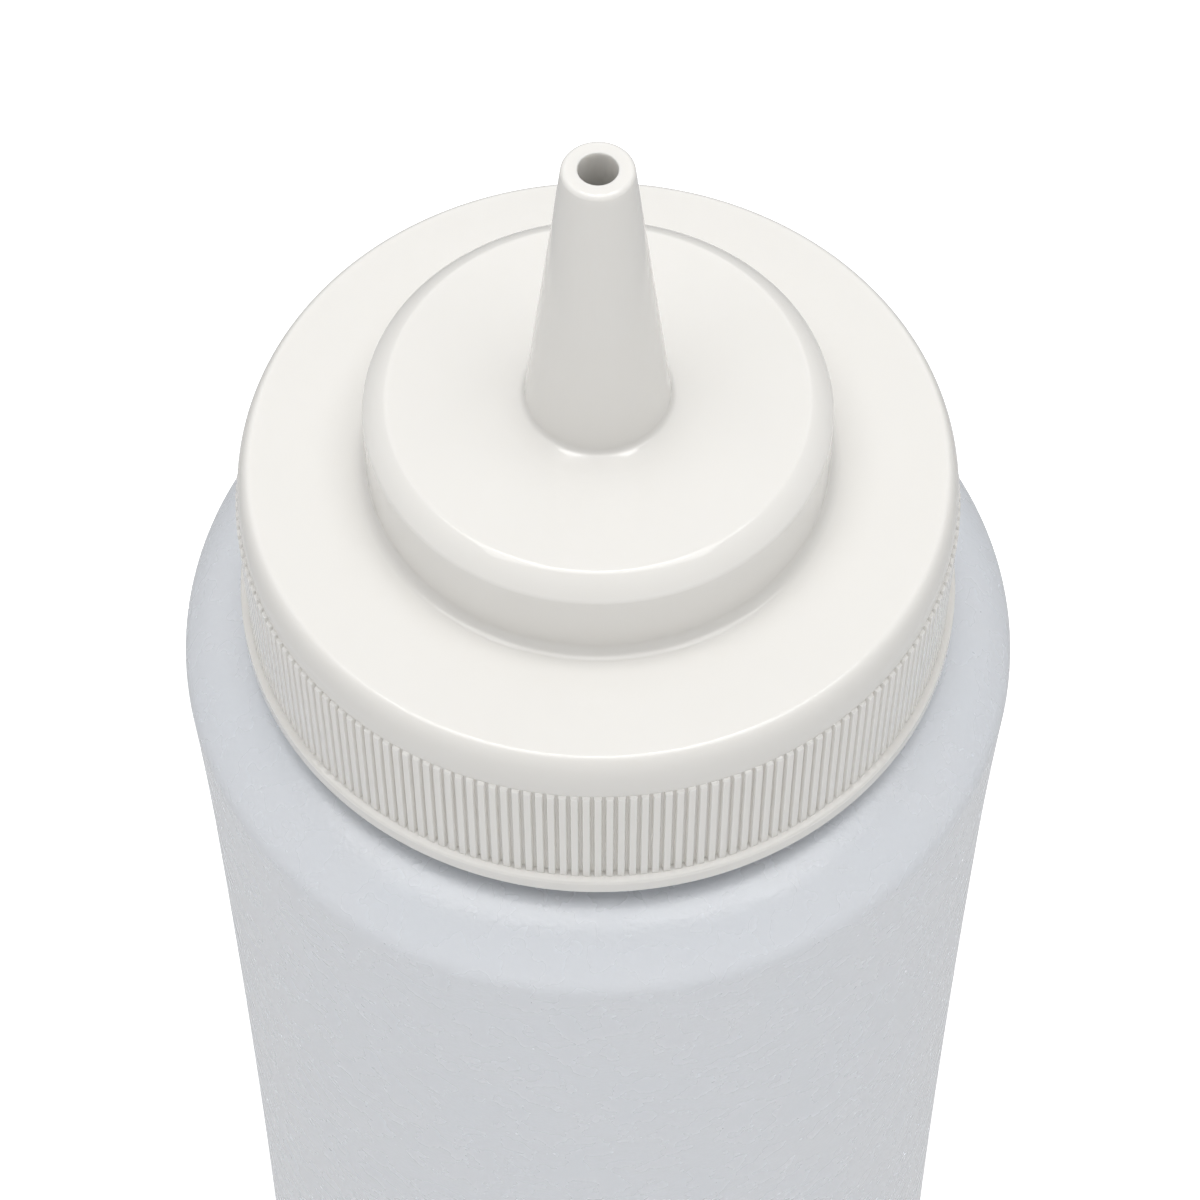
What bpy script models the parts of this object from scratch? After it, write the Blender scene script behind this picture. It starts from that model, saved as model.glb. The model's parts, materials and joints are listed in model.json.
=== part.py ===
"""Condiment squeeze bottle: a blow-moulded bottle, a seal liner and a screw cap with a cone nozzle.

Lengths are in metres and +Z is up. The origin is the centre of the base.
Outlines are lists of (radius, height) points, which are turned about the Z axis.
"""

from math import atan, cos, hypot, pi, radians, sin

import bmesh
import bpy

# Driving dimensions of the bottle
BOTTLE_HEIGHT = 0.1700
SHOULDER_RADIUS = 0.0402
BODY_WALL = 0.0011
WAIST_DRAW_IN = 0.00037
WAIST_DROP = 0.026
FOOT_FLARE = 0.00137
SHOULDER_DROP = 0.0196
SHOULDER_FLAT = 0.0012
SHOULDER_CORNER = 0.0043
SHOULDER_BREAK = radians(56)

# Neck and its outside thread
NECK_RADIUS = 0.0299
NECK_WALL = 0.0016
NECK_FOOT_FILLET = 0.0010
LIP_ROUNDING = 0.0005
THREAD_LEAD = 0.0042333
THREAD_TURNS = 2
THREAD_RUNOUT_TURNS = 0.125
NECK_THREAD_START = 0.0026
NECK_THREAD_DEPTH = 0.0012
NECK_THREAD_ROOT = 0.0024
NECK_THREAD_CREST = 0.0010

# Base of the bottle
BASE_WALL = 0.0014
BASE_CORNER = 0.0050
STANDING_RING_WIDTH = 0.0042
PUSH_UP = 0.0030

# Seal liner
LINER_THICKNESS = 0.0010
LINER_OVERHANG = 0.0010
SEAT_GAP = 0.0003

# Cap: flange, raised disc and cone nozzle
CAP_TOP_WALL = 0.0020
RIM_STEP_IN = 0.00097
RIM_ROUNDING_REACH = 0.0014
RIM_ROUNDING_HEIGHT = 0.0035
RIM_HEIGHT = 0.0049
DISC_RADIUS = 0.02103
DISC_HEIGHT = 0.0095
DISC_WALL = 0.0016
DISC_ROUNDING_REACH = 0.0021
DISC_ROUNDING_HEIGHT = 0.0016
DISC_FOOT_FILLET = 0.0008
DISC_FOOT_FLARE = 0.0019
DISC_INNER_ROUNDING = 0.0015
NOZZLE_HEIGHT = 0.0310
NOZZLE_FOOT_RADIUS = 0.0066
NOZZLE_TIP_RADIUS = 0.00313
NOZZLE_FOOT_FILLET = 0.0009
NOZZLE_FOOT_FLARE = 0.0110
NOZZLE_TIP_ROUNDING = 0.0005
NOZZLE_WALL = 0.0015
OUTLET_RADIUS = 0.0017
OUTLET_LAND = 0.0036
FLARE_SLOPE = radians(12)

# Cap: skirt, grip ribs, bottom band and inside thread
SKIRT_DEPTH = 0.0204
BAND_WALL = 0.0025
BAND_HEIGHT = 0.0018
BAND_ROUNDING = 0.0003
RIB_COUNT = 200
RIB_STEP_IN = 0.00067
RIB_DEPTH = 0.00043
RIB_CREST_SHARE = 0.46
RIB_FLANK_SHARE = 0.13
RIB_OVER_RIM = 0.00015
RIB_BACKING = 0.0004
SKIRT_MOUTH_CHAMFER = 0.0004
THREAD_CLEARANCE = 0.0004
CAP_THREAD_CLEARANCE = 0.00035
CAP_THREAD_ROOT = 0.0020
CAP_THREAD_CREST = 0.0009
FLANK_CLEARANCE = 0.0003

# One overrun, by which joined solids reach into each other
OVERRUN = 0.0004

# Faces around the axis, and steps along an arc
SEGMENTS = 48
ARC_STEPS = 4
FINE_ARC_STEPS = 2
MERGE_DISTANCE = 0.000001
SHARP_ANGLE = radians(32)

# Heights that follow from the sizes above
LINER_BASE = BOTTLE_HEIGHT + SEAT_GAP
CAP_CEILING = LINER_BASE + LINER_THICKNESS + SEAT_GAP
FLANGE_TOP = CAP_CEILING + CAP_TOP_WALL
SHOULDER_TOP = BOTTLE_HEIGHT - SHOULDER_DROP

# Radii that follow from the sizes above
WAIST_RADIUS = SHOULDER_RADIUS - WAIST_DRAW_IN
FOOT_RADIUS = WAIST_RADIUS + FOOT_FLARE
LINER_BORE_RADIUS = NECK_RADIUS - NECK_WALL - LINER_OVERHANG
NECK_THREAD_CREST_RADIUS = NECK_RADIUS + NECK_THREAD_DEPTH
SKIRT_BORE_RADIUS = NECK_THREAD_CREST_RADIUS + THREAD_CLEARANCE
CAP_THREAD_CREST_RADIUS = NECK_RADIUS + CAP_THREAD_CLEARANCE
BAND_RADIUS = SKIRT_BORE_RADIUS + BAND_WALL
RIM_RADIUS = BAND_RADIUS - RIM_STEP_IN
RIB_CREST_RADIUS = BAND_RADIUS - RIB_STEP_IN


def clear_scene():
    for old in list(bpy.data.objects):
        bpy.data.objects.remove(old, do_unlink=True)


def arc(centre, reach, start, stop, steps):
    """Points on an ellipse about centre. Angles run from straight up towards larger radii."""
    middle_radius, middle_height = centre
    reach_out, reach_up = reach
    turns = [start + (stop - start) * step / steps for step in range(steps + 1)]
    return [(middle_radius + reach_out * sin(turn), middle_height + reach_up * cos(turn)) for turn in turns]


def round_arc(centre, radius, start, stop, steps=ARC_STEPS):
    return arc(centre, (radius, radius), start, stop, steps)


def link(name, mesh):
    thing = bpy.data.objects.new(name, mesh)
    bpy.context.scene.collection.objects.link(thing)
    return thing


def mesh_object(name, shape):
    """Close off a bmesh as an object with outward faces and smooth shading with sharp edges."""
    bmesh.ops.recalc_face_normals(shape, faces=shape.faces)
    mesh = bpy.data.meshes.new(name)
    shape.to_mesh(mesh)
    shape.free()
    mesh.shade_smooth()
    mesh.set_sharp_from_angle(angle=SHARP_ANGLE)
    return link(name, mesh)


def turned(name, outline, ends_meet):
    """Spin an outline about Z. An outline whose ends don't meet starts and ends on the axis."""
    shape = bmesh.new()
    points = [shape.verts.new((radius, 0, height)) for radius, height in outline]
    pairs = list(zip(points, points[1:]))
    if ends_meet:
        pairs.append((points[-1], points[0]))
    edges = [shape.edges.new(pair) for pair in pairs]
    bmesh.ops.spin(shape, geom=points + edges, cent=(0, 0, 0), axis=(0, 0, 1), angle=2 * pi,
                   steps=SEGMENTS, use_merge=True)
    bmesh.ops.remove_doubles(shape, verts=shape.verts, dist=MERGE_DISTANCE)
    return mesh_object(name, shape)


def plastic(name, colour, roughness, see_through=0.0):
    material = bpy.data.materials.new(name)
    material.use_nodes = True
    shader = material.node_tree.nodes["Principled BSDF"]
    shader.inputs["Base Color"].default_value = (*colour, 1)
    shader.inputs["Roughness"].default_value = roughness
    shader.inputs["Metallic"].default_value = 0
    shader.inputs["Transmission Weight"].default_value = see_through
    material.diffuse_color = (*colour, 1)
    return material


def helper(thing):
    """Mark an object that only shapes another one."""
    thing.hide_render = True
    thing.display_type = "WIRE"
    return thing


def join(thing, addition):
    union = thing.modifiers.new(addition.name, "BOOLEAN")
    union.operation = "UNION"
    union.solver = "EXACT"
    union.object = helper(addition)


def thread(name, wall_radius, crest_radius, root_width, crest_width, top):
    """A helical ridge whose centre line starts at height top and runs down. Both ends run out into the wall.

    Its corners lie midway between the wall's own corners, so that no edges coincide where the two are joined.
    """
    outwards = 1 if crest_radius > wall_radius else -1
    buried_radius = wall_radius - outwards * OVERRUN
    sunk_crest = wall_radius - outwards * OVERRUN / 2
    steps = round(THREAD_TURNS * SEGMENTS)
    runout_steps = round(THREAD_RUNOUT_TURNS * SEGMENTS)
    shape = bmesh.new()
    rings = []
    for step in range(steps + 1):
        growth = min(1, step / runout_steps, (steps - step) / runout_steps)
        ridge_radius = sunk_crest + (crest_radius - sunk_crest) * growth
        turns_down = (step + 1 / 2) / SEGMENTS
        turn = -2 * pi * turns_down
        height = top - THREAD_LEAD * turns_down
        corners = [(buried_radius, root_width / 2), (ridge_radius, crest_width / 2),
                   (ridge_radius, -crest_width / 2), (buried_radius, -root_width / 2)]
        rings.append([shape.verts.new((radius * cos(turn), radius * sin(turn), height + rise))
                      for radius, rise in corners])
    shape.faces.new(rings[0])
    shape.faces.new(rings[-1])
    for ring, following in zip(rings, rings[1:]):
        for corner in range(len(ring)):
            after = (corner + 1) % len(ring)
            shape.faces.new((ring[corner], ring[after], following[after], following[corner]))
    return mesh_object(name, shape)


def side_wall(inset, low, high):
    """The side wall from low to high. It is drawn in at its waist and flares gently towards its foot."""
    shares = [step / ARC_STEPS for step in range(ARC_STEPS + 1)]
    waist_height = high - WAIST_DROP
    waist_radius = WAIST_RADIUS - inset
    lower = [(waist_radius + FOOT_FLARE * share ** 2, waist_height + (low - waist_height) * share)
             for share in shares]
    upper = [(waist_radius + WAIST_DRAW_IN * share ** 2, waist_height + WAIST_DROP * share)
             for share in shares]
    return lower[::-1] + upper[1:]


def shoulder_rounding():
    """Radius of the rounding that spans from the shoulder's corner to the flat round the neck's foot."""
    flat_radius = NECK_RADIUS + NECK_FOOT_FILLET + SHOULDER_FLAT
    return SHOULDER_CORNER + (SHOULDER_RADIUS - SHOULDER_CORNER - flat_radius) / sin(SHOULDER_BREAK)


def shoulder_corner_height():
    """Height of the corner's centre, which sets the rounding's top at SHOULDER_TOP."""
    rounding = shoulder_rounding()
    return SHOULDER_TOP - rounding + (rounding - SHOULDER_CORNER) * cos(SHOULDER_BREAK)


def shoulder(inset):
    """From the widest point up the corner and in over the shoulder, offset inwards by inset."""
    rounding = shoulder_rounding()
    corner_centre = (SHOULDER_RADIUS - SHOULDER_CORNER, shoulder_corner_height())
    rounding_centre = (NECK_RADIUS + NECK_FOOT_FILLET + SHOULDER_FLAT, SHOULDER_TOP - rounding)
    corner_arc = round_arc(corner_centre, SHOULDER_CORNER - inset, pi / 2, SHOULDER_BREAK, FINE_ARC_STEPS)
    rounding_arc = round_arc(rounding_centre, rounding - inset, SHOULDER_BREAK, 0)
    return corner_arc[1:] + rounding_arc[1:]


def neck_foot(neck_radius, inset, fillet):
    """The hollow curve between the shoulder's top and the neck."""
    centre = (neck_radius + fillet, SHOULDER_TOP - inset + fillet)
    return round_arc(centre, fillet, pi, 3 * pi / 2, FINE_ARC_STEPS)


def base_dome(edge_radius, centre_height, edge_height):
    """The pushed-up middle of the base, from the axis out to the standing ring."""
    shares = [step / ARC_STEPS for step in range(ARC_STEPS + 1)]
    rise = centre_height - edge_height
    return [(edge_radius * share, edge_height + rise * (1 + cos(pi * share)) / 2) for share in shares]


def bottle_outline():
    wall_low = BASE_CORNER
    wall_high = shoulder_corner_height()
    ring_outer = FOOT_RADIUS - BASE_CORNER
    ring_inner = ring_outer - STANDING_RING_WIDTH
    bore_radius = NECK_RADIUS - NECK_WALL
    lip_middle = BOTTLE_HEIGHT - LIP_ROUNDING

    outside = base_dome(ring_inner, PUSH_UP, 0)
    outside += round_arc((ring_outer, BASE_CORNER), BASE_CORNER, pi, pi / 2)[:-1]
    outside += side_wall(0, wall_low, wall_high)
    outside += shoulder(0)
    outside += neck_foot(NECK_RADIUS, 0, NECK_FOOT_FILLET)
    outside += round_arc((NECK_RADIUS - LIP_ROUNDING, lip_middle), LIP_ROUNDING, pi / 2, 0, FINE_ARC_STEPS)

    inside = base_dome(ring_inner, PUSH_UP + BASE_WALL, BASE_WALL)
    inner_corner = BASE_CORNER - BODY_WALL
    inside += round_arc((ring_outer, BASE_WALL + inner_corner), inner_corner, pi, pi / 2, FINE_ARC_STEPS)[:-1]
    inside += side_wall(BODY_WALL, wall_low + BASE_WALL - BODY_WALL, wall_high)
    inside += shoulder(BODY_WALL)
    inside += neck_foot(bore_radius, BODY_WALL, NECK_FOOT_FILLET + BODY_WALL)
    inside += round_arc((bore_radius + LIP_ROUNDING, lip_middle), LIP_ROUNDING, -pi / 2, 0, FINE_ARC_STEPS)
    return outside + inside[::-1]


def make_bottle():
    bottle = turned("bottle", bottle_outline(), ends_meet=False)
    ridge = thread("neck_thread", NECK_RADIUS, NECK_THREAD_CREST_RADIUS, NECK_THREAD_ROOT, NECK_THREAD_CREST,
                   BOTTLE_HEIGHT - NECK_THREAD_START)
    join(bottle, ridge)
    bottle.data.materials.append(plastic("frosted_bottle_plastic", (0.78, 0.81, 0.86), 0.42, 0.35))
    return bottle


def make_liner():
    outer_radius = SKIRT_BORE_RADIUS - SEAT_GAP
    outline = [(LINER_BORE_RADIUS, 0), (outer_radius, 0), (outer_radius, LINER_THICKNESS),
               (LINER_BORE_RADIUS, LINER_THICKNESS)]
    liner = turned("seal_liner", outline, ends_meet=True)
    liner.location.z = LINER_BASE
    liner.data.materials.append(plastic("liner_foam", (0.88, 0.88, 0.86), 0.6))
    return liner


def foot_curve(foot_radius, lean, fillet, flare, base_height):
    """A hollow corner: a tight fillet under a wall, which a wider flare eases into the flat below."""
    rise = flare * (1 - cos(FLARE_SLOPE)) + fillet * cos(FLARE_SLOPE)
    fillet_radius = foot_radius + (fillet - rise * sin(lean)) / cos(lean)
    flare_radius = fillet_radius + (flare - fillet) * sin(FLARE_SLOPE)
    tight = round_arc((fillet_radius, base_height + rise), fillet, 3 * pi / 2 - lean, pi + FLARE_SLOPE,
                      FINE_ARC_STEPS)
    wide = round_arc((flare_radius, base_height + flare), flare, pi + FLARE_SLOPE, pi, FINE_ARC_STEPS)
    return tight + wide[1:]


def nozzle_outside():
    """From the outlet's edge over the tip and down the cone to the flare at its foot."""
    tip_height = DISC_HEIGHT + NOZZLE_HEIGHT
    lean = atan((NOZZLE_FOOT_RADIUS - NOZZLE_TIP_RADIUS) / NOZZLE_HEIGHT)
    tip = round_arc((NOZZLE_TIP_RADIUS - NOZZLE_TIP_ROUNDING, tip_height - NOZZLE_TIP_ROUNDING),
                    NOZZLE_TIP_ROUNDING, 0, pi / 2 - lean, FINE_ARC_STEPS)
    foot = foot_curve(NOZZLE_FOOT_RADIUS, lean, NOZZLE_FOOT_FILLET, NOZZLE_FOOT_FLARE, DISC_HEIGHT)
    return [(OUTLET_RADIUS, tip_height)] + tip + foot


def nozzle_inside():
    """Up the inside of the cone from the disc's ceiling to the outlet's straight land."""
    ceiling = DISC_HEIGHT - DISC_WALL
    land_height = DISC_HEIGHT + NOZZLE_HEIGHT - OUTLET_LAND
    return [(NOZZLE_FOOT_RADIUS - NOZZLE_WALL, ceiling), (OUTLET_RADIUS, land_height)]


def disc_outside():
    edge_centre = (DISC_RADIUS - DISC_ROUNDING_REACH, DISC_HEIGHT - DISC_ROUNDING_HEIGHT)
    edge = arc(edge_centre, (DISC_ROUNDING_REACH, DISC_ROUNDING_HEIGHT), 0, pi / 2, ARC_STEPS)
    return edge + foot_curve(DISC_RADIUS, 0, DISC_FOOT_FILLET, DISC_FOOT_FLARE, 0)


def rim_outside():
    centre = (RIM_RADIUS - RIM_ROUNDING_REACH, -RIM_ROUNDING_HEIGHT)
    rounding = arc(centre, (RIM_ROUNDING_REACH, RIM_ROUNDING_HEIGHT), 0, pi / 2, ARC_STEPS)
    return rounding + [(RIM_RADIUS, -RIM_HEIGHT)]


def rib_valley_radius():
    return RIB_CREST_RADIUS - RIB_DEPTH


def skirt_outside():
    """The wall behind the ribs, then the bottom band with its ledge."""
    backing_radius = rib_valley_radius() - RIB_BACKING
    ledge = BAND_HEIGHT - SKIRT_DEPTH
    band_middle = BAND_RADIUS - BAND_ROUNDING
    edge = round_arc((band_middle, ledge - BAND_ROUNDING), BAND_ROUNDING, 0, pi / 2, FINE_ARC_STEPS)
    return [(backing_radius, -RIM_HEIGHT), (backing_radius, ledge)] + edge + [(BAND_RADIUS, -SKIRT_DEPTH)]


def cap_inside():
    """From the skirt's mouth up to the seal's seat, and on into the disc's hollow."""
    dome_radius = DISC_RADIUS - DISC_WALL
    dome_ceiling = DISC_HEIGHT - DISC_WALL
    dome_edge = round_arc((dome_radius - DISC_INNER_ROUNDING, dome_ceiling - DISC_INNER_ROUNDING),
                          DISC_INNER_ROUNDING, pi / 2, 0, FINE_ARC_STEPS)
    mouth = [(SKIRT_BORE_RADIUS + SKIRT_MOUTH_CHAMFER, -SKIRT_DEPTH),
             (SKIRT_BORE_RADIUS, SKIRT_MOUTH_CHAMFER - SKIRT_DEPTH),
             (SKIRT_BORE_RADIUS, -CAP_TOP_WALL), (dome_radius, -CAP_TOP_WALL)]
    return mouth + dome_edge


def make_rib_ring():
    """A ring with straight grip ribs outside. It reaches into the rim, the skirt and the band."""
    valley_radius = rib_valley_radius()
    inner_radius = valley_radius - RIB_BACKING - OVERRUN
    top = RIB_OVER_RIM - RIM_HEIGHT
    bottom = BAND_HEIGHT - SKIRT_DEPTH - OVERRUN
    pitch = 2 * pi / RIB_COUNT
    crest_half = RIB_CREST_SHARE / 2
    foot_half = crest_half + RIB_FLANK_SHARE
    rib = [(-foot_half, valley_radius), (-crest_half, RIB_CREST_RADIUS),
           (crest_half, RIB_CREST_RADIUS), (foot_half, valley_radius)]
    spots = [(pitch * (count + share), radius) for count in range(RIB_COUNT) for share, radius in rib]

    shape = bmesh.new()

    def circle(height, inner):
        radii = [inner_radius if inner else radius for _, radius in spots]
        return [shape.verts.new((radius * cos(turn), radius * sin(turn), height))
                for (turn, _), radius in zip(spots, radii)]

    loops = [circle(top, False), circle(bottom, False), circle(bottom, True), circle(top, True)]
    for loop, following in zip(loops, loops[1:] + loops[:1]):
        for spot in range(len(spots)):
            after = (spot + 1) % len(spots)
            shape.faces.new((loop[spot], loop[after], following[after], following[spot]))
    return mesh_object("grip_ribs", shape)


def cap_thread_drop():
    """How far the cap's ridge lies below the neck's ridge when their loaded flanks all but meet."""
    neck_slope = (NECK_THREAD_ROOT - NECK_THREAD_CREST) / 2 / NECK_THREAD_DEPTH
    middle_radius = (CAP_THREAD_CREST_RADIUS + NECK_THREAD_CREST_RADIUS) / 2
    neck_half = NECK_THREAD_ROOT / 2 - neck_slope * (middle_radius - NECK_RADIUS)
    cap_depth = SKIRT_BORE_RADIUS - CAP_THREAD_CREST_RADIUS
    cap_slope = (CAP_THREAD_ROOT - CAP_THREAD_CREST) / 2 / cap_depth
    cap_half = CAP_THREAD_ROOT / 2 - cap_slope * (SKIRT_BORE_RADIUS - middle_radius)
    return neck_half + cap_half + FLANK_CLEARANCE * hypot(1, neck_slope)


def make_cap():
    outside = nozzle_outside() + disc_outside() + rim_outside() + skirt_outside()
    cap = turned("cap", outside + cap_inside() + nozzle_inside(), ends_meet=True)
    ribs = make_rib_ring()
    top = BOTTLE_HEIGHT - NECK_THREAD_START - cap_thread_drop() - FLANGE_TOP
    ridge = thread("cap_thread", SKIRT_BORE_RADIUS, CAP_THREAD_CREST_RADIUS, CAP_THREAD_ROOT,
                   CAP_THREAD_CREST, top)
    for piece in (ribs, ridge):
        join(cap, piece)
        piece.parent = cap
    cap.location.z = FLANGE_TOP
    cap.data.materials.append(plastic("white_cap_plastic", (0.90, 0.89, 0.86), 0.22))
    return cap


def carry(thing, carrier):
    """Parent one piece to another and leave it where it is."""
    bpy.context.view_layer.update()
    place = thing.matrix_world.copy()
    thing.parent = carrier
    thing.matrix_world = place


def main():
    clear_scene()
    bottle = make_bottle()
    liner = make_liner()
    cap = make_cap()
    carry(liner, bottle)
    carry(cap, liner)


main()
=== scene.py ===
"""Looks of the condiment squeeze bottle: fine meshes, moulded plastics, floor, light and camera.

Lengths are in metres and +Z is up. Outlines are lists of (radius, height) points, turned about the Z axis.
The cap's heights are measured from the top of its flange, and the bottle's from the floor.
"""

import json
from math import atan, cos, hypot, pi, radians, sin, tan

import bmesh
import bpy
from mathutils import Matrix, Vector


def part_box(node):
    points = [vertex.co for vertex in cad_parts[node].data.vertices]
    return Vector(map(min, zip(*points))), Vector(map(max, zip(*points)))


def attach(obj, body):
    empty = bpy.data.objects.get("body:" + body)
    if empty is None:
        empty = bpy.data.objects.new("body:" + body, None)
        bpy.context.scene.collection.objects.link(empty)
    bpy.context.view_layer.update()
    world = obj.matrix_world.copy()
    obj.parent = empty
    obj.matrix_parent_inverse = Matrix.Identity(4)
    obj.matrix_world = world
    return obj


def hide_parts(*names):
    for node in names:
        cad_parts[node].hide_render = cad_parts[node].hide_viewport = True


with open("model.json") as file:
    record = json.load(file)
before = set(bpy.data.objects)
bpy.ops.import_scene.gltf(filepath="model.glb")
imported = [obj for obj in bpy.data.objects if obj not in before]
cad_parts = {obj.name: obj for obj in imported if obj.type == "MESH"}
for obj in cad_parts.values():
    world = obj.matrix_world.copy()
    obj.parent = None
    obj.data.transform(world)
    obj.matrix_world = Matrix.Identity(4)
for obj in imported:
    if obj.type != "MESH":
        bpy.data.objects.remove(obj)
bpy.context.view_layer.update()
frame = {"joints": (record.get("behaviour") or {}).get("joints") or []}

# Places taken from the frame
FOOT_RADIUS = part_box("bottle")[1].x
BOTTLE_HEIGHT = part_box("bottle")[1].z
BAND_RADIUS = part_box("cap")[1].x
SKIRT_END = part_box("cap")[0].z
NOZZLE_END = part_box("cap")[1].z
LINER_LOW, LINER_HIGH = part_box("seal_liner")
FLANGE_TOP = next(joint["pos_m"][2] for joint in frame["joints"] if joint["name"] == "cap_turn")

# Bottle: body, shoulder and base
SHOULDER_RADIUS = 0.0402
BODY_WALL = 0.0011
WAIST_DRAW_IN = 0.00037
WAIST_DROP = 0.026
SHOULDER_DROP = 0.0196
SHOULDER_FLAT = 0.0012
SHOULDER_CORNER = 0.0043
SHOULDER_BREAK = radians(56)
BASE_WALL = 0.0014
BASE_CORNER = 0.0050
STANDING_RING_WIDTH = 0.0042
PUSH_UP = 0.0030

# Neck and its outside thread
NECK_RADIUS = 0.0299
NECK_WALL = 0.0016
NECK_FOOT_FILLET = 0.0010
LIP_ROUNDING = 0.0005
THREAD_LEAD = 0.0042333
THREAD_TURNS = 2
THREAD_RUNOUT_TURNS = 0.125
NECK_THREAD_START = 0.0026
NECK_THREAD_DEPTH = 0.0012
NECK_THREAD_ROOT = 0.0024
NECK_THREAD_CREST = 0.0010
THREAD_EDGE = 0.0001
THREAD_EDGE_SHARE = 0.9

# Seal liner
LINER_BORE_RADIUS = 0.0273
LINER_EDGE = 0.00015

# Cap: flange, raised disc and cone nozzle
CAP_TOP_WALL = 0.0020
RIM_RADIUS = 0.03303
RIM_ROUNDING_REACH = 0.00142
RIM_ROUNDING_HEIGHT = 0.00355
RIM_HEIGHT = 0.0049
RIPPLE_RADIUS = 0.0257
RIPPLE_HALF_WIDTH = 0.0010
RIPPLE_HEIGHT = 0.000008
DISC_RADIUS = 0.02103
DISC_HEIGHT = 0.0095
DISC_WALL = 0.0016
DISC_EDGE_START = 0.00085
DISC_EDGE_START_TILT = radians(28)
DISC_EDGE_MIDDLE = 0.0059
DISC_EDGE_MIDDLE_TILT = radians(50)
DISC_EDGE_END = 0.00075
DISC_FOOT_FILLET = 0.0011
DISC_INNER_ROUNDING = 0.0015
NOZZLE_HEIGHT = NOZZLE_END - FLANGE_TOP - DISC_HEIGHT
NOZZLE_FOOT_RADIUS = 0.0066
NOZZLE_FOOT_FILLET = 0.0006
NOZZLE_FOOT_FLARE = 0.0095
NOZZLE_TIP_RADIUS = 0.00313
NOZZLE_TIP_ROUNDING = 0.0005
NOZZLE_WALL = 0.0015
OUTLET_RADIUS = 0.0017
OUTLET_EDGE = 0.00012
OUTLET_LAND = 0.0036
FLARE_SLOPE = radians(12.5)

# Cap: skirt, grip ribs, bottom band and inside thread
SKIRT_DEPTH = FLANGE_TOP - SKIRT_END
BAND_HEIGHT = 0.0018
BAND_ROUNDING = 0.0003
BAND_LEDGE_SLOPE = radians(15)
BAND_MOUTH_EDGE = 0.00015
RIB_COUNT = 200
RIB_CREST_RADIUS = 0.03333
RIB_DEPTH = 0.00043
RIB_TOP_CHAMFER = 0.0002
RIB_TOP_RISE = 0.00015
RIB_FOOT_RAMP = 0.00022
SKIRT_MOUTH_CHAMFER = 0.0004
THREAD_CLEARANCE = 0.0004
CAP_THREAD_CLEARANCE = 0.00035
CAP_THREAD_ROOT = 0.0020
CAP_THREAD_CREST = 0.0009
FLANK_CLEARANCE = 0.0003

# Half a rib, from the valley's middle to the crest's middle: shares of the pitch, and of the rib's rise
RIB_WIDTH_SHARES = (0, 0.10, 0.15, 0.19, 0.23, 0.30)
RIB_RISE_SHARES = (0, 0.02, 0.22, 0.78, 0.98, 1)

# Columns around the axis, and steps along an arc
NOZZLE_COLUMNS = RIB_COUNT // 2
CAP_COLUMNS = RIB_COUNT * 2
BOTTLE_COLUMNS = 256
ARC_STEPS = 12
FINE_ARC_STEPS = 4
RIM_ARC_STEPS = ARC_STEPS * 2
RAMP_STEPS = FINE_ARC_STEPS * 2
SHARP_ANGLE = radians(40)

# Heights and radii that follow from the sizes above
SHOULDER_TOP = BOTTLE_HEIGHT - SHOULDER_DROP
SHOULDER_FLAT_RADIUS = NECK_RADIUS + NECK_FOOT_FILLET + SHOULDER_FLAT
SHOULDER_ROUNDING = SHOULDER_CORNER + (
    SHOULDER_RADIUS - SHOULDER_CORNER - SHOULDER_FLAT_RADIUS) / sin(SHOULDER_BREAK)
WAIST_RADIUS = SHOULDER_RADIUS - WAIST_DRAW_IN
NECK_THREAD_CREST_RADIUS = NECK_RADIUS + NECK_THREAD_DEPTH
SKIRT_BORE_RADIUS = NECK_THREAD_CREST_RADIUS + THREAD_CLEARANCE
CAP_THREAD_CREST_RADIUS = NECK_RADIUS + CAP_THREAD_CLEARANCE
RIB_PITCH = 2 * pi / RIB_COUNT


def arc(centre, reach, start, stop, steps=ARC_STEPS):
    """Points on an ellipse about centre. Angles run from straight up towards larger radii."""
    middle_radius, middle_height = centre
    reach_out, reach_up = reach
    turns = [start + (stop - start) * step / steps for step in range(steps + 1)]
    return [(middle_radius + reach_out * sin(turn), middle_height + reach_up * cos(turn)) for turn in turns]


def round_arc(centre, radius, start, stop, steps=ARC_STEPS):
    return arc(centre, (radius, radius), start, stop, steps)


def ring(shape, radius, height, columns):
    """A circle of vertices that starts in the middle of a rib's valley."""
    turns = [2 * pi * column / columns - RIB_PITCH / 2 for column in range(columns)]
    return [shape.verts.new((radius * cos(turn), radius * sin(turn), height)) for turn in turns]


def rings(shape, outline, columns):
    return [ring(shape, radius, height, columns) for radius, height in outline]


def bridge(shape, upper, lower):
    """Faces between two rings, whose counts may differ by a whole factor."""
    columns = min(len(upper), len(lower))

    def stretch(loop, column):
        share = len(loop) // columns
        return [loop[(column * share + step) % len(loop)] for step in range(share + 1)]

    for column in range(columns):
        shape.faces.new(stretch(upper, column) + stretch(lower, column)[::-1])


def bridge_all(shape, loops):
    for upper, lower in zip(loops, loops[1:]):
        bridge(shape, upper, lower)


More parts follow.
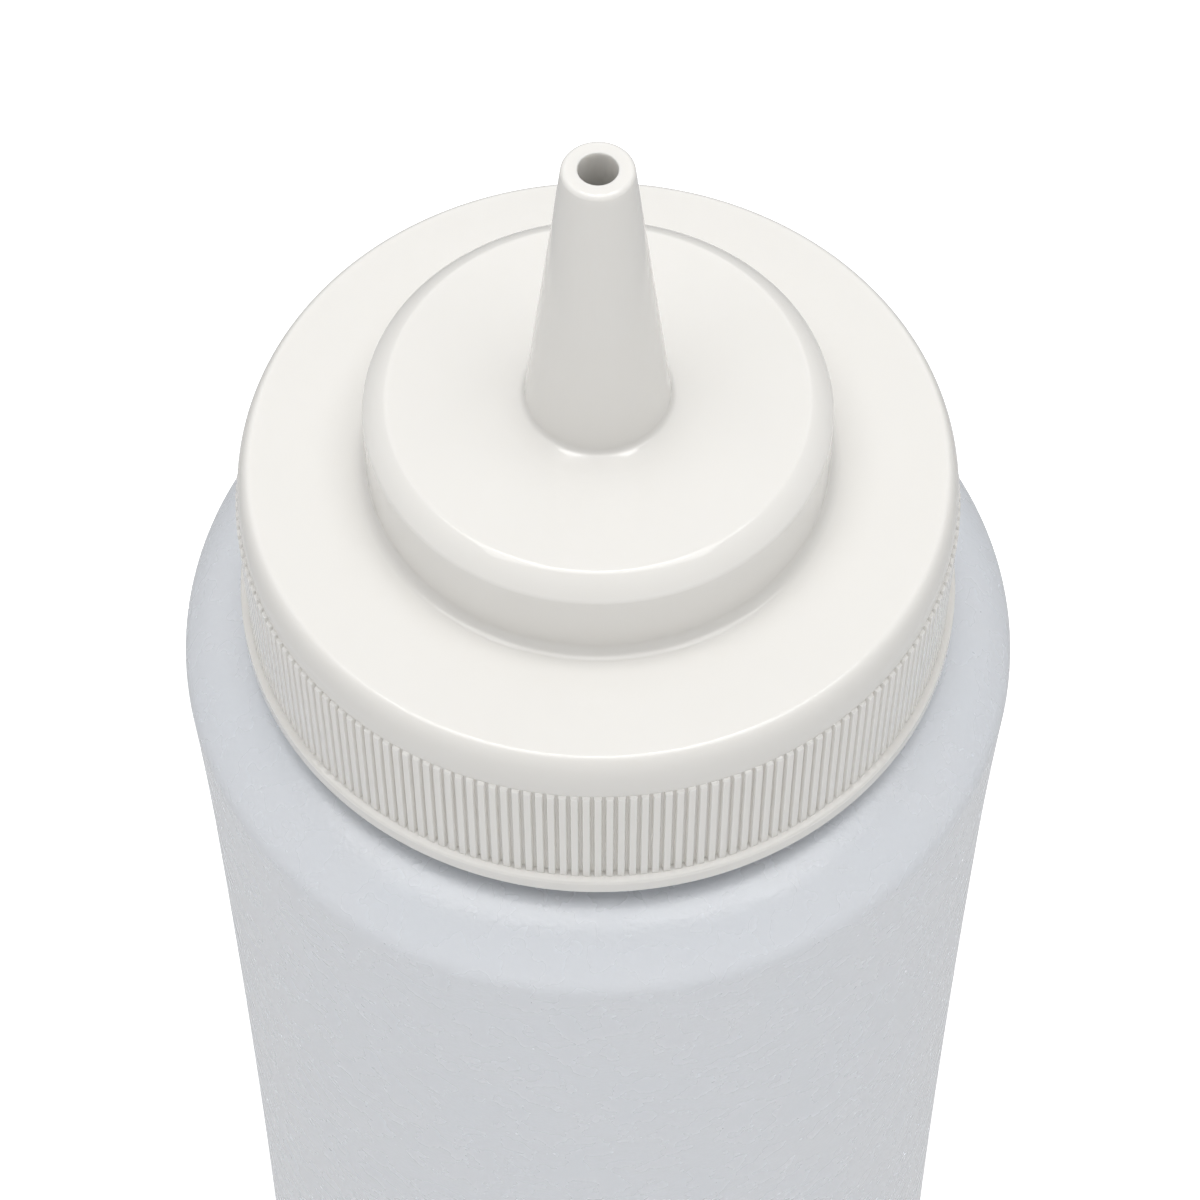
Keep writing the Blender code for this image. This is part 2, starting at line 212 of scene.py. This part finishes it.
def threaded_wall(shape, upper, lower, wall_radius, crest_radius, root_width, crest_width, top):
    """The wall between two rings, with a helical ridge whose centre line starts at height top and runs down.

    The ridge is a strip one lead wide. Each turn of it shares its upper edge with the turn before.
    """
    columns = len(upper)
    steps = THREAD_TURNS * columns
    runout = round(THREAD_RUNOUT_TURNS * columns)
    flank = (root_width - crest_width) / 2
    profile = [(0, 0), (flank - THREAD_EDGE, THREAD_EDGE_SHARE), (flank + THREAD_EDGE, 1),
               (root_width - flank - THREAD_EDGE, 1),
               (root_width - flank + THREAD_EDGE, THREAD_EDGE_SHARE),
               (root_width, 0), ((root_width + THREAD_LEAD) / 2, 0)]
    strip = []
    for step in range(steps + 1):
        growth = min(1, step / runout, (steps - step) / runout)
        turn = -2 * pi * step / columns - RIB_PITCH / 2
        start = top + root_width / 2 - THREAD_LEAD * step / columns
        spots = [(wall_radius + (crest_radius - wall_radius) * share * growth, start - drop)
                 for drop, share in profile]
        strip.append([shape.verts.new((radius * cos(turn), radius * sin(turn), height))
                      for radius, height in spots])

    def pair(loop, step):
        """The ring's two vertices at this step and the next, which run against the ring's own order."""
        return loop[-step % columns], loop[(-step - 1) % columns]

    for step in range(steps):
        near, far = strip[step], strip[step + 1]
        for spot in range(len(profile) - 1):
            shape.faces.new((near[spot], far[spot], far[spot + 1], near[spot + 1]))
        if step < columns - 1:
            here, after = pair(upper, step)
            shape.faces.new((here, after, far[0], near[0]))
        if step + columns < steps:
            shape.faces.new((near[-1], far[-1], strip[step + columns + 1][0], strip[step + columns][0]))
        elif step + columns > steps:
            here, after = pair(lower, step)
            shape.faces.new((near[-1], far[-1], after, here))
    here, after = pair(upper, columns - 1)
    shape.faces.new([here, after] + strip[0] + [strip[columns][0], strip[columns - 1][0]])
    here, after = pair(lower, steps)
    before, beside = strip[steps - columns:steps - columns + 2]
    shape.faces.new([before[-1], beside[-1], after, here] + strip[steps][::-1])


def piece(name, shape, body, material, height=0.0):
    """Close off a bmesh as a smooth piece that replaces its node and rides on its body."""
    bmesh.ops.recalc_face_normals(shape, faces=shape.faces)
    mesh = bpy.data.meshes.new(name)
    shape.to_mesh(mesh)
    shape.free()
    mesh.shade_smooth()
    mesh.set_sharp_from_angle(angle=SHARP_ANGLE)
    mesh.materials.append(material)
    thing = bpy.data.objects.new(name, mesh)
    bpy.context.scene.collection.objects.link(thing)
    thing.location.z = height
    weighted = thing.modifiers.new("weighted_normals", "WEIGHTED_NORMAL")
    weighted.keep_sharp = True
    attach(thing, body)
    return thing


# Bottle

def eased(share):
    """0 to 1 with a soft start and a soft end."""
    return (1 - cos(pi * share)) / 2


def side_wall(inset, low, high):
    """The side wall from low to high. It is drawn in at its waist and flares gently towards its foot."""
    shares = [step / ARC_STEPS for step in range(ARC_STEPS + 1)]
    waist_height = high - WAIST_DROP
    waist_radius = WAIST_RADIUS - inset
    lower = [(waist_radius + (FOOT_RADIUS - WAIST_RADIUS) * share ** 2,
              waist_height + (low - waist_height) * share) for share in shares]
    upper = [(waist_radius + WAIST_DRAW_IN * share ** 2, waist_height + WAIST_DROP * share)
             for share in shares]
    return lower[::-1] + upper[1:]


def shoulder_corner_height():
    """Height of the corner's centre, which sets the rounding's top at SHOULDER_TOP."""
    return SHOULDER_TOP - SHOULDER_ROUNDING + (SHOULDER_ROUNDING - SHOULDER_CORNER) * cos(SHOULDER_BREAK)


def shoulder(inset):
    """From the widest point up the corner and in over the shoulder, offset inwards by inset."""
    corner_centre = (SHOULDER_RADIUS - SHOULDER_CORNER, shoulder_corner_height())
    rounding_centre = (SHOULDER_FLAT_RADIUS, SHOULDER_TOP - SHOULDER_ROUNDING)
    corner = round_arc(corner_centre, SHOULDER_CORNER - inset, pi / 2, SHOULDER_BREAK)
    rounding = round_arc(rounding_centre, SHOULDER_ROUNDING - inset, SHOULDER_BREAK, 0)
    return corner[1:] + rounding[1:]


def neck_foot(neck_radius, inset, fillet):
    centre = (neck_radius + fillet, SHOULDER_TOP - inset + fillet)
    return round_arc(centre, fillet, pi, 3 * pi / 2, FINE_ARC_STEPS)


def base_dome(edge_radius, centre_height, edge_height):
    """The pushed-up middle of the base, from near the axis out to the standing ring."""
    shares = [(step + 1) / ARC_STEPS for step in range(ARC_STEPS)]
    rise = centre_height - edge_height
    return [(edge_radius * share, edge_height + rise * eased(1 - share)) for share in shares]


def bottle_outside():
    """From the base's middle up to the foot of the neck."""
    ring_outer = FOOT_RADIUS - BASE_CORNER
    outline = base_dome(ring_outer - STANDING_RING_WIDTH, PUSH_UP, 0)
    outline += round_arc((ring_outer, BASE_CORNER), BASE_CORNER, pi, pi / 2)[:-1]
    outline += side_wall(0, BASE_CORNER, shoulder_corner_height())
    outline += shoulder(0)
    return outline + neck_foot(NECK_RADIUS, 0, NECK_FOOT_FILLET)


def bottle_inside():
    """From the base's middle up to the lip."""
    ring_outer = FOOT_RADIUS - BASE_CORNER
    bore_radius = NECK_RADIUS - NECK_WALL
    corner = BASE_CORNER - BODY_WALL
    outline = base_dome(ring_outer - STANDING_RING_WIDTH, PUSH_UP + BASE_WALL, BASE_WALL)
    outline += round_arc((ring_outer, BASE_WALL + corner), corner, pi, pi / 2)[:-1]
    outline += side_wall(BODY_WALL, BASE_WALL + corner, shoulder_corner_height())
    outline += shoulder(BODY_WALL)
    outline += neck_foot(bore_radius, BODY_WALL, NECK_FOOT_FILLET + BODY_WALL)
    return outline + round_arc((bore_radius + LIP_ROUNDING, BOTTLE_HEIGHT - LIP_ROUNDING), LIP_ROUNDING,
                               -pi / 2, 0, FINE_ARC_STEPS)


def close_on_axis(shape, loop, height):
    """A fan of faces from a ring to a point on the axis."""
    middle = shape.verts.new((0, 0, height))
    for here, after in zip(loop, loop[1:] + loop[:1]):
        shape.faces.new((middle, here, after))


def make_bottle():
    shape = bmesh.new()
    outside = rings(shape, bottle_outside(), BOTTLE_COLUMNS)
    lip = round_arc((NECK_RADIUS - LIP_ROUNDING, BOTTLE_HEIGHT - LIP_ROUNDING), LIP_ROUNDING, pi / 2, 0,
                    FINE_ARC_STEPS)
    lip_rings = rings(shape, lip, BOTTLE_COLUMNS)
    inside = rings(shape, bottle_inside(), BOTTLE_COLUMNS)
    bridge_all(shape, outside)
    threaded_wall(shape, lip_rings[0], outside[-1], NECK_RADIUS, NECK_THREAD_CREST_RADIUS, NECK_THREAD_ROOT,
                  NECK_THREAD_CREST, BOTTLE_HEIGHT - NECK_THREAD_START)
    bridge_all(shape, lip_rings + inside[::-1])
    close_on_axis(shape, outside[0], PUSH_UP)
    close_on_axis(shape, inside[0], PUSH_UP + BASE_WALL)
    bottle = piece("bottle_shell", shape, "bottle", frosted_plastic())
    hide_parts("bottle")


# Seal liner

def make_liner():
    shape = bmesh.new()
    inner = LINER_BORE_RADIUS + LINER_EDGE
    outer = LINER_HIGH.x - LINER_EDGE
    low = LINER_LOW.z + LINER_EDGE
    high = LINER_HIGH.z - LINER_EDGE
    corners = ((outer, high, 0), (outer, low, pi / 2), (inner, low, pi), (inner, high, 3 * pi / 2))
    outline = []
    for radius, height, start in corners:
        outline += round_arc((radius, height), LINER_EDGE, start, start + pi / 2, FINE_ARC_STEPS)
    loops = rings(shape, outline, BOTTLE_COLUMNS)
    bridge_all(shape, loops + loops[:1])
    liner = piece("seal_liner_ring", shape, "seal", liner_foam())
    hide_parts("seal_liner")


# Cap

def foot_curve(foot_radius, lean, fillet, flare, base_height):
    """A hollow corner: a tight fillet under a wall, which a wider flare eases into the flat below."""
    rise = flare * (1 - cos(FLARE_SLOPE)) + fillet * cos(FLARE_SLOPE)
    fillet_radius = foot_radius + (fillet - rise * sin(lean)) / cos(lean)
    flare_radius = fillet_radius + (flare - fillet) * sin(FLARE_SLOPE)
    tight = round_arc((fillet_radius, base_height + rise), fillet, 3 * pi / 2 - lean, pi + FLARE_SLOPE)
    wide = round_arc((flare_radius, base_height + flare), flare, pi + FLARE_SLOPE, pi)
    return tight + wide[1:]


def nozzle_outside():
    """From the outlet's edge over the tip and down the cone to the flare at its foot."""
    tip_height = DISC_HEIGHT + NOZZLE_HEIGHT
    lean = atan((NOZZLE_FOOT_RADIUS - NOZZLE_TIP_RADIUS) / NOZZLE_HEIGHT)
    outlet = round_arc((OUTLET_RADIUS + OUTLET_EDGE, tip_height - OUTLET_EDGE), OUTLET_EDGE, -pi / 2, 0,
                       FINE_ARC_STEPS)
    tip = round_arc((NOZZLE_TIP_RADIUS - NOZZLE_TIP_ROUNDING, tip_height - NOZZLE_TIP_ROUNDING),
                    NOZZLE_TIP_ROUNDING, 0, pi / 2 - lean)
    foot = foot_curve(NOZZLE_FOOT_RADIUS, lean, NOZZLE_FOOT_FILLET, NOZZLE_FOOT_FLARE, DISC_HEIGHT)
    return outlet + tip + foot


def edge_offsets(chain):
    """Steps (out, down) along an edge that starts flat. The chain holds each arc's radius and end tilt."""
    out = down = tilt = 0
    offsets = [(0, 0)]
    for radius, stop in chain:
        for step in range(1, ARC_STEPS + 1):
            turn = tilt + (stop - tilt) * step / ARC_STEPS
            offsets.append((out + radius * (sin(turn) - sin(tilt)),
                            down + radius * (cos(tilt) - cos(turn))))
        out, down = offsets[-1]
        tilt = stop
    return offsets


def disc_outside():
    """The disc's rounded edge, its wall and the hollow corner at its foot."""
    edge = edge_offsets([(DISC_EDGE_START, DISC_EDGE_START_TILT), (DISC_EDGE_MIDDLE, DISC_EDGE_MIDDLE_TILT),
                         (DISC_EDGE_END, pi / 2)])
    flat_end = DISC_RADIUS - edge[-1][0]
    fillet_centre = (DISC_RADIUS + DISC_FOOT_FILLET, DISC_FOOT_FILLET)
    fillet = round_arc(fillet_centre, DISC_FOOT_FILLET, -pi / 2, -pi)
    return [(flat_end + out, DISC_HEIGHT - down) for out, down in edge] + fillet


def flange_outside():
    """The flange's flat with a faint ripple, then its rounded rim."""
    shares = [step / ARC_STEPS for step in range(ARC_STEPS + 1)]
    start = RIPPLE_RADIUS - RIPPLE_HALF_WIDTH
    ripple = [(start + 2 * RIPPLE_HALF_WIDTH * share, RIPPLE_HEIGHT * eased(2 * share)) for share in shares]
    centre = (RIM_RADIUS - RIM_ROUNDING_REACH, -RIM_ROUNDING_HEIGHT)
    reach = (RIM_ROUNDING_REACH, RIM_ROUNDING_HEIGHT)
    return ripple + arc(centre, reach, 0, pi / 2, RIM_ARC_STEPS)


def rib_columns():
    """Turn and rise share of every column around the ribs, from the middle of a valley."""
    half = list(zip(RIB_WIDTH_SHARES, RIB_RISE_SHARES))
    whole = half + [(0.5, 1)] + [(1 - width, rise) for width, rise in half[:0:-1]]
    return [(RIB_PITCH * (rib + width - 1 / 2), rise) for rib in range(RIB_COUNT) for width, rise in whole]


def rib_ring(shape, height, rim_share, ramp_radius=0.0):
    """One ring around the ribs. rim_share 1 is the plain rim, and no spot lies inside ramp_radius."""
    valley_radius = RIB_CREST_RADIUS - RIB_DEPTH
    loop = []
    for turn, rise in rib_columns():
        radius = valley_radius + RIB_DEPTH * rise
        radius = max(ramp_radius, radius + (RIM_RADIUS - radius) * rim_share)
        loop.append(shape.verts.new((radius * cos(turn), radius * sin(turn), height)))
    return loop


def rib_rings(shape):
    """Grip ribs: a chamfer out of the rim, straight ribs, and a ramp at each valley's foot."""
    top = RIB_TOP_RISE - RIM_HEIGHT
    ledge = BAND_HEIGHT - SKIRT_DEPTH
    valley_radius = RIB_CREST_RADIUS - RIB_DEPTH
    loops = [rib_ring(shape, top + RIB_TOP_CHAMFER / 2, 1)]
    for step in range(FINE_ARC_STEPS + 1):
        share = step / FINE_ARC_STEPS
        loops.append(rib_ring(shape, top - RIB_TOP_CHAMFER * share, 1 - sin(pi / 2 * share)))
    for step in range(RAMP_STEPS + 1):
        share = step / RAMP_STEPS
        ramp_radius = valley_radius + RIB_DEPTH * share
        loops.append(rib_ring(shape, ledge + RIB_FOOT_RAMP * (1 - share), 0, ramp_radius))
    return loops


def band_outside():
    """The ledge under the ribs, the bottom band and the skirt's mouth."""
    edge_start = BAND_RADIUS - BAND_ROUNDING * (1 - sin(BAND_LEDGE_SLOPE))
    drop = (edge_start - RIB_CREST_RADIUS) * tan(BAND_LEDGE_SLOPE) + BAND_ROUNDING * cos(BAND_LEDGE_SLOPE)
    edge = round_arc((BAND_RADIUS - BAND_ROUNDING, BAND_HEIGHT - SKIRT_DEPTH - drop), BAND_ROUNDING,
                     BAND_LEDGE_SLOPE, pi / 2)
    foot = round_arc((BAND_RADIUS - BAND_MOUTH_EDGE, BAND_MOUTH_EDGE - SKIRT_DEPTH), BAND_MOUTH_EDGE,
                     pi / 2, pi, FINE_ARC_STEPS)
    mouth = [(SKIRT_BORE_RADIUS + SKIRT_MOUTH_CHAMFER, -SKIRT_DEPTH),
             (SKIRT_BORE_RADIUS, SKIRT_MOUTH_CHAMFER - SKIRT_DEPTH)]
    return edge + foot + mouth


def cap_inside():
    """From the seal's seat over the disc's hollow and up the nozzle to the outlet."""
    dome_radius = DISC_RADIUS - DISC_WALL
    dome_ceiling = DISC_HEIGHT - DISC_WALL
    land_height = DISC_HEIGHT + NOZZLE_HEIGHT - OUTLET_LAND
    dome_edge = round_arc((dome_radius - DISC_INNER_ROUNDING, dome_ceiling - DISC_INNER_ROUNDING),
                          DISC_INNER_ROUNDING, pi / 2, 0, FINE_ARC_STEPS)
    seat = [(SKIRT_BORE_RADIUS, -CAP_TOP_WALL), (dome_radius, -CAP_TOP_WALL)]
    bore = [(NOZZLE_FOOT_RADIUS - NOZZLE_WALL, dome_ceiling), (OUTLET_RADIUS, land_height)]
    return seat + dome_edge, bore


def cap_thread_drop():
    """How far the cap's ridge lies below the neck's ridge when their loaded flanks all but meet."""
    neck_slope = (NECK_THREAD_ROOT - NECK_THREAD_CREST) / 2 / NECK_THREAD_DEPTH
    middle_radius = (CAP_THREAD_CREST_RADIUS + NECK_THREAD_CREST_RADIUS) / 2
    neck_half = NECK_THREAD_ROOT / 2 - neck_slope * (middle_radius - NECK_RADIUS)
    cap_depth = SKIRT_BORE_RADIUS - CAP_THREAD_CREST_RADIUS
    cap_slope = (CAP_THREAD_ROOT - CAP_THREAD_CREST) / 2 / cap_depth
    cap_half = CAP_THREAD_ROOT / 2 - cap_slope * (SKIRT_BORE_RADIUS - middle_radius)
    return neck_half + cap_half + FLANK_CLEARANCE * hypot(1, neck_slope)


def make_cap():
    shape = bmesh.new()
    nozzle = rings(shape, nozzle_outside(), NOZZLE_COLUMNS)
    top = rings(shape, disc_outside() + flange_outside(), CAP_COLUMNS)
    skirt = rings(shape, band_outside(), CAP_COLUMNS)
    dome_outline, bore_outline = cap_inside()
    dome = rings(shape, dome_outline, CAP_COLUMNS)
    bore = rings(shape, bore_outline, NOZZLE_COLUMNS)
    bridge_all(shape, nozzle + top + rib_rings(shape) + skirt)
    threaded_wall(shape, dome[0], skirt[-1], SKIRT_BORE_RADIUS, CAP_THREAD_CREST_RADIUS, CAP_THREAD_ROOT,
                  CAP_THREAD_CREST, BOTTLE_HEIGHT - NECK_THREAD_START - cap_thread_drop() - FLANGE_TOP)
    bridge_all(shape, dome + bore + nozzle[:1])
    cap = piece("cap_shell", shape, "cap", cap_plastic(), FLANGE_TOP)
    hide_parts("cap")


# Materials

CAP_COLOURS = ((0.833, 0.819, 0.790), (0.851, 0.837, 0.808))
CAP_CLOUD_GRAIN = 0.014
CAP_ROUGHNESS = (0.05, 0.08)
CAP_ROUGHNESS_GRAIN = 0.006
CAP_FLOW_GRAIN = 0.004
CAP_FLOW_DEPTH = 0.000004
CAP_HAZE_GRAIN = 0.0003
CAP_HAZE_DEPTH = 0.0000003
CAP_IOR = 1.49
CAP_SCATTER_DEPTH = 0.0006

BOTTLE_COLOURS = ((0.905, 0.942, 0.995), (0.930, 0.952, 0.990))
BOTTLE_CLOUD_GRAIN = 0.010
BOTTLE_ROUGHNESS = (0.24, 0.30)
BOTTLE_ROUGHNESS_GRAIN = 0.003
BOTTLE_WAVE_GRAIN = 0.0016
BOTTLE_WAVE_DEPTH = 0.000020
BOTTLE_PEEL_GRAIN = 0.00045
BOTTLE_PEEL_DEPTH = 0.000040
BOTTLE_IOR = 1.5
BOTTLE_SPECULAR_LEVEL = 0.8
BOTTLE_TRANSMISSION = 0.2

FOAM_COLOURS = ((0.84, 0.84, 0.82), (0.9, 0.9, 0.88))
FOAM_CLOUD_GRAIN = 0.002
FOAM_CELL_GRAIN = 0.00025
FOAM_CELL_DEPTH = 0.00002
FOAM_ROUGHNESS = 0.7

# Noise stays within these two values nearly everywhere
NOISE_LOW = 0.3
NOISE_HIGH = 0.7


class Surface:
    """A Principled material with helpers that place procedural nodes in front of it."""

    def __init__(self, name):
        self.material = bpy.data.materials.new(name)
        self.material.use_nodes = True
        self.tree = self.material.node_tree
        self.shader = self.tree.nodes["Principled BSDF"]
        self.place = self.node("ShaderNodeTexCoord").outputs["Object"]

    def node(self, kind, **values):
        made = self.tree.nodes.new(kind)
        for name, value in values.items():
            made.inputs[name.replace("_", " ")].default_value = value
        return made

    def link(self, source, target):
        self.tree.links.new(source, target)

    def noise(self, grain, detail=2.0, roughness=0.5):
        """Noise whose patches are about grain wide."""
        made = self.node("ShaderNodeTexNoise", Scale=1 / grain, Detail=detail, Roughness=roughness)
        self.link(self.place, made.inputs["Vector"])
        return made.outputs["Fac"]

    def mapped(self, source, low, high):
        made = self.node("ShaderNodeMapRange", From_Min=NOISE_LOW, From_Max=NOISE_HIGH,
                         To_Min=low, To_Max=high)
        self.link(source, made.inputs["Value"])
        return made.outputs["Result"]

    def mixed(self, share, first, second):
        made = self.tree.nodes.new("ShaderNodeMix")
        made.data_type = "RGBA"
        made.inputs["A"].default_value = (*first, 1)
        made.inputs["B"].default_value = (*second, 1)
        self.link(share, made.inputs["Factor"])
        return made.outputs["Result"]

    def bumped(self, source, depth, strength=1.0, below=None):
        made = self.node("ShaderNodeBump", Strength=strength, Distance=depth)
        self.link(source, made.inputs["Height"])
        if below:
            self.link(below, made.inputs["Normal"])
        return made.outputs["Normal"]


def cap_plastic():
    """Glossy warm white that scatters light a little, with faint flow marks and a hint of polish haze."""
    surface = Surface("white_cap_plastic")
    shader = surface.shader
    surface.link(surface.mixed(surface.noise(CAP_CLOUD_GRAIN), *CAP_COLOURS), shader.inputs["Base Color"])
    surface.link(surface.mapped(surface.noise(CAP_ROUGHNESS_GRAIN), *CAP_ROUGHNESS),
                 shader.inputs["Roughness"])
    flow = surface.bumped(surface.noise(CAP_FLOW_GRAIN, 1.0), CAP_FLOW_DEPTH)
    haze = surface.bumped(surface.noise(CAP_HAZE_GRAIN), CAP_HAZE_DEPTH, below=flow)
    surface.link(haze, shader.inputs["Normal"])
    shader.inputs["IOR"].default_value = CAP_IOR
    shader.inputs["Subsurface Weight"].default_value = 1
    shader.inputs["Subsurface Radius"].default_value = (1, 1, 1)
    shader.inputs["Subsurface Scale"].default_value = CAP_SCATTER_DEPTH
    return surface.material


def frosted_plastic():
    """Milky plastic that lets some light through, with an orange-peel skin and faint blue and grey clouds."""
    surface = Surface("frosted_bottle_plastic")
    shader = surface.shader
    surface.link(surface.mixed(surface.noise(BOTTLE_CLOUD_GRAIN, 3.0), *BOTTLE_COLOURS),
                 shader.inputs["Base Color"])
    surface.link(surface.mapped(surface.noise(BOTTLE_ROUGHNESS_GRAIN), *BOTTLE_ROUGHNESS),
                 shader.inputs["Roughness"])
    waves = surface.bumped(surface.noise(BOTTLE_WAVE_GRAIN, 1.0), BOTTLE_WAVE_DEPTH)
    peel = surface.bumped(surface.noise(BOTTLE_PEEL_GRAIN), BOTTLE_PEEL_DEPTH, below=waves)
    surface.link(peel, shader.inputs["Normal"])
    shader.inputs["IOR"].default_value = BOTTLE_IOR
    shader.inputs["Specular IOR Level"].default_value = BOTTLE_SPECULAR_LEVEL
    shader.inputs["Transmission Weight"].default_value = BOTTLE_TRANSMISSION
    return surface.material


def liner_foam():
    """Fine closed-cell foam."""
    surface = Surface("liner_foam")
    shader = surface.shader
    surface.link(surface.mixed(surface.noise(FOAM_CLOUD_GRAIN), *FOAM_COLOURS), shader.inputs["Base Color"])
    surface.link(surface.bumped(surface.noise(FOAM_CELL_GRAIN), FOAM_CELL_DEPTH), shader.inputs["Normal"])
    shader.inputs["Roughness"].default_value = FOAM_ROUGHNESS
    return surface.material


# Floor, light and camera

FLOOR_RADIUS = 2.0
BACKDROP_BEND = 1.5
FLOOR_COLOUR = (0.9, 0.9, 0.9, 1)
FLOOR_ROUGHNESS = 0.9
FLOOR_GLOW = 0.50

# Levels of the sky from straight down to straight up, in front of the bottle and behind it
SKY_HEIGHTS = (-1.0, -0.5, 0.0, 0.35, 0.7, 1.0)
SKY_FRONT = (0.72, 1.16, 0.98, 0.32, 0.16, 0.32)
SKY_BACK = (0.84, 0.18, 0.00, 0.45, 0.88, 0.91)
OVERHEAD_DISTANCE = 1.0

# Tilt back from the zenith, width and depth of each softbox in degrees seen from the cap, and its radiance
LIGHT_ANGLES = {
    "strip": (12, 24, 8),
    "overhead": (-5, 70, 36),
    "rear_strip": (21, 20, 1.2),
}
LIGHT_RADIANCE = {"strip": 6.0, "overhead": 2.50, "rear_strip": 3.0}
CAMERA_LENS = 108.8
CAMERA_SENSOR = 36
CAMERA_PLACE = (0, -0.1902, FLANGE_TOP + 0.2695)
CAMERA_DOWN = radians(57.07)
FRAME_PIXELS = 1200
CENTRE_PIXEL = 598


def make_backdrop():
    """A pale floor that curves up on all sides. It shows white and adds no light of its own to the bottle."""
    surface = Surface("studio_white")
    surface.shader.inputs["Base Color"].default_value = FLOOR_COLOUR
    surface.shader.inputs["Roughness"].default_value = FLOOR_ROUGHNESS
    surface.shader.inputs["Emission Color"].default_value = (1, 1, 1, 1)
    surface.shader.inputs["Emission Strength"].default_value = FLOOR_GLOW
    shape = bmesh.new()
    bend = round_arc((FLOOR_RADIUS, BACKDROP_BEND), BACKDROP_BEND, pi, pi / 2)
    loops = rings(shape, bend, NOZZLE_COLUMNS)
    bridge_all(shape, loops)
    close_on_axis(shape, loops[0], 0)
    mesh = bpy.data.meshes.new("floor")
    shape.to_mesh(mesh)
    shape.free()
    mesh.shade_smooth()
    mesh.materials.append(surface.material)
    floor = bpy.data.objects.new("floor", mesh)
    bpy.context.scene.collection.objects.link(floor)
    floor.visible_diffuse = False
    floor.visible_glossy = False
    floor.visible_shadow = False


def make_world():
    """Soft light from all round. Its levels follow the height of each direction, in front and behind."""
    world = bpy.data.worlds.new("studio")
    bpy.context.scene.world = world
    world.use_nodes = True
    tree = world.node_tree

    def share_of(output):
        """A direction's component from -1 to 1 as a share from 0 to 1."""
        ranged = tree.nodes.new("ShaderNodeMapRange")
        ranged.inputs["From Min"].default_value = -1
        tree.links.new(output, ranged.inputs["Value"])
        return ranged.outputs["Result"]

    def ramp(source, levels):
        made = tree.nodes.new("ShaderNodeValToRGB")
        elements = made.color_ramp.elements
        elements.remove(elements[-1])
        for spot, (height, level) in enumerate(zip(SKY_HEIGHTS, levels)):
            element = elements[0] if spot == 0 else elements.new((height + 1) / 2)
            element.position = (height + 1) / 2
            element.color = (level, level, level, 1)
        tree.links.new(source, made.inputs["Fac"])
        return made.outputs["Color"]

    direction = tree.nodes.new("ShaderNodeTexCoord")
    split = tree.nodes.new("ShaderNodeSeparateXYZ")
    tree.links.new(direction.outputs["Generated"], split.inputs["Vector"])
    height = share_of(split.outputs["Z"])
    mix = tree.nodes.new("ShaderNodeMix")
    mix.data_type = "RGBA"
    tree.links.new(share_of(split.outputs["Y"]), mix.inputs["Factor"])
    tree.links.new(ramp(height, SKY_FRONT), mix.inputs["A"])
    tree.links.new(ramp(height, SKY_BACK), mix.inputs["B"])
    tree.links.new(mix.outputs["Result"], tree.nodes["Background"].inputs["Color"])


def softbox(name, back, width, depth, radiance):
    """A soft light over the cap. Width, depth and tilt back from the zenith are angles seen from the cap."""
    light = bpy.data.lights.new(name, "AREA")
    light.shape = "RECTANGLE"
    light.size = OVERHEAD_DISTANCE * width
    light.size_y = OVERHEAD_DISTANCE * depth
    light.energy = radiance * pi * light.size * light.size_y
    thing = bpy.data.objects.new(name, light)
    bpy.context.scene.collection.objects.link(thing)
    thing.location = Vector((0, sin(back), cos(back))) * OVERHEAD_DISTANCE + Vector((0, 0, FLANGE_TOP))
    thing.rotation_euler.x = -back
    thing.visible_camera = False


def make_lights():
    for name, (back, width, depth) in LIGHT_ANGLES.items():
        softbox(name, radians(back), radians(width), radians(depth), LIGHT_RADIANCE[name])


def make_camera():
    camera = bpy.data.cameras.new("camera")
    camera.lens = CAMERA_LENS
    camera.sensor_width = CAMERA_SENSOR
    camera.shift_x = 1 / 2 - CENTRE_PIXEL / FRAME_PIXELS
    thing = bpy.data.objects.new("camera", camera)
    bpy.context.scene.collection.objects.link(thing)
    thing.location = CAMERA_PLACE
    thing.rotation_euler.x = pi / 2 - CAMERA_DOWN
    bpy.context.scene.camera = thing


make_bottle()
make_liner()
make_cap()
make_backdrop()
make_world()
make_lights()
make_camera()
bpy.context.scene.view_settings.view_transform = "Standard"
